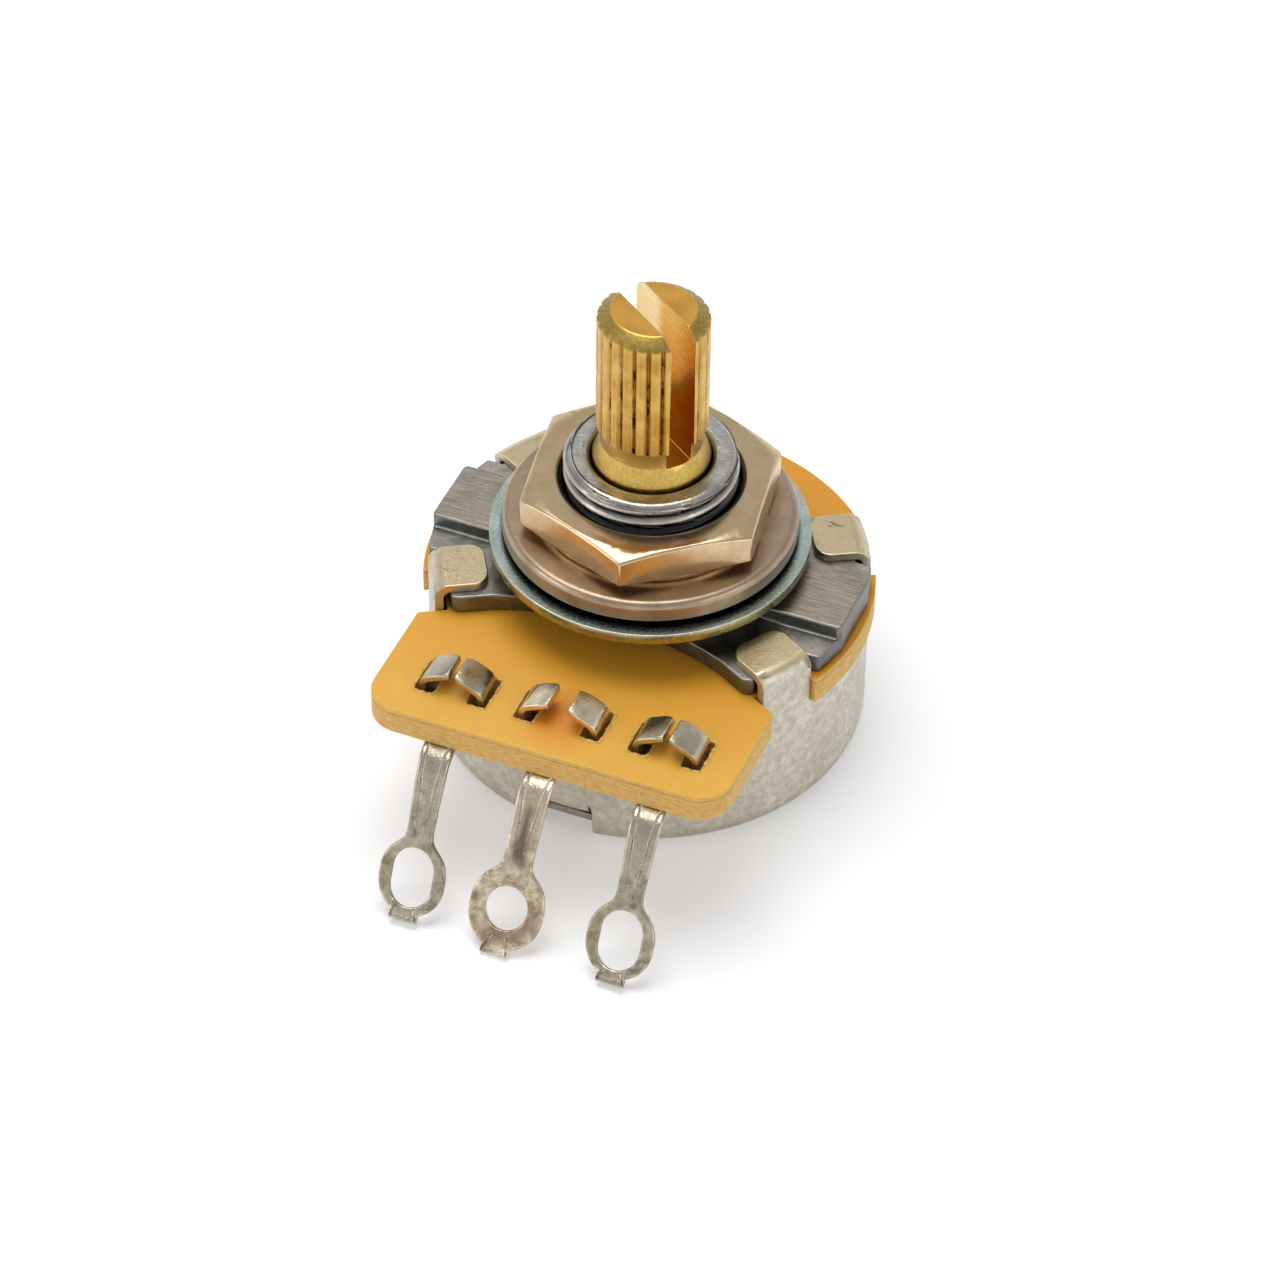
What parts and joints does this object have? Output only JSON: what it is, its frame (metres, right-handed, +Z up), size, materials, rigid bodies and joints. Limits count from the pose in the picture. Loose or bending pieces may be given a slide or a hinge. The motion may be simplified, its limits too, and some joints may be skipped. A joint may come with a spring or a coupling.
{
  "type": "rotary potentiometer",
  "caption": "Panel-mount rotary potentiometer: drawn steel cover, phenolic wafer with solder lugs, threaded bushing with nut and washers, and a split knurled brass shaft.",
  "frame": {"origin": "on the shaft's axis, at the cover's flat back face", "axes": "+Z up the shaft, +X along the row of solder lugs, and the lugs point towards -Y"},
  "size_m": [0.0246, 0.0338, 0.0275],
  "materials": {
    "plated_steel": "drawn steel with a dull, finely pitted tin plate",
    "zinc_casting": "die-cast zinc alloy, grey and slightly rough",
    "paper_phenolic": "amber paper-filled phenolic board, satin",
    "carbon_film": "printed carbon film, matt",
    "silver_film": "printed silver film, matt",
    "spring_brass": "rolled phosphor bronze, bright",
    "tinned_brass": "stamped brass with a tin plate, stained by handling",
    "turned_brass": "turned and knurled brass, satin",
    "rotor_phenolic": "brown phenolic, matt",
    "spring_steel": "hardened spring steel",
    "nickel_plate": "nickel plate with a warm tone, satin",
    "zinc_plate": "zinc plate with a blue-green passivation"
  },
  "bodies": {
    "housing": {"cover": "plated_steel", "mounting_plate": "zinc_casting", "element_wafer": "paper_phenolic", "carbon_track": "carbon_film", "silver_end_left": "silver_film", "silver_end_right": "silver_film", "collector_ring": "spring_brass", "terminal_left": "tinned_brass", "terminal_centre": "tinned_brass", "terminal_right": "tinned_brass", "spring_washer": "spring_steel", "flat_washer": "nickel_plate", "lock_washer": "zinc_plate", "hex_nut": "nickel_plate"},
    "spindle": {"shaft": "turned_brass", "rotor": "rotor_phenolic", "wiper_contact": "spring_brass", "retaining_ring": "spring_steel"}
  },
  "joints": [
    {"name": "shaft_turn", "type": "hinge", "parent": "housing", "child": "spindle", "pos_m": [0, 0, 0.0143], "axis": [0, 0, 1], "range_deg": [-150, 150]}
  ]
}
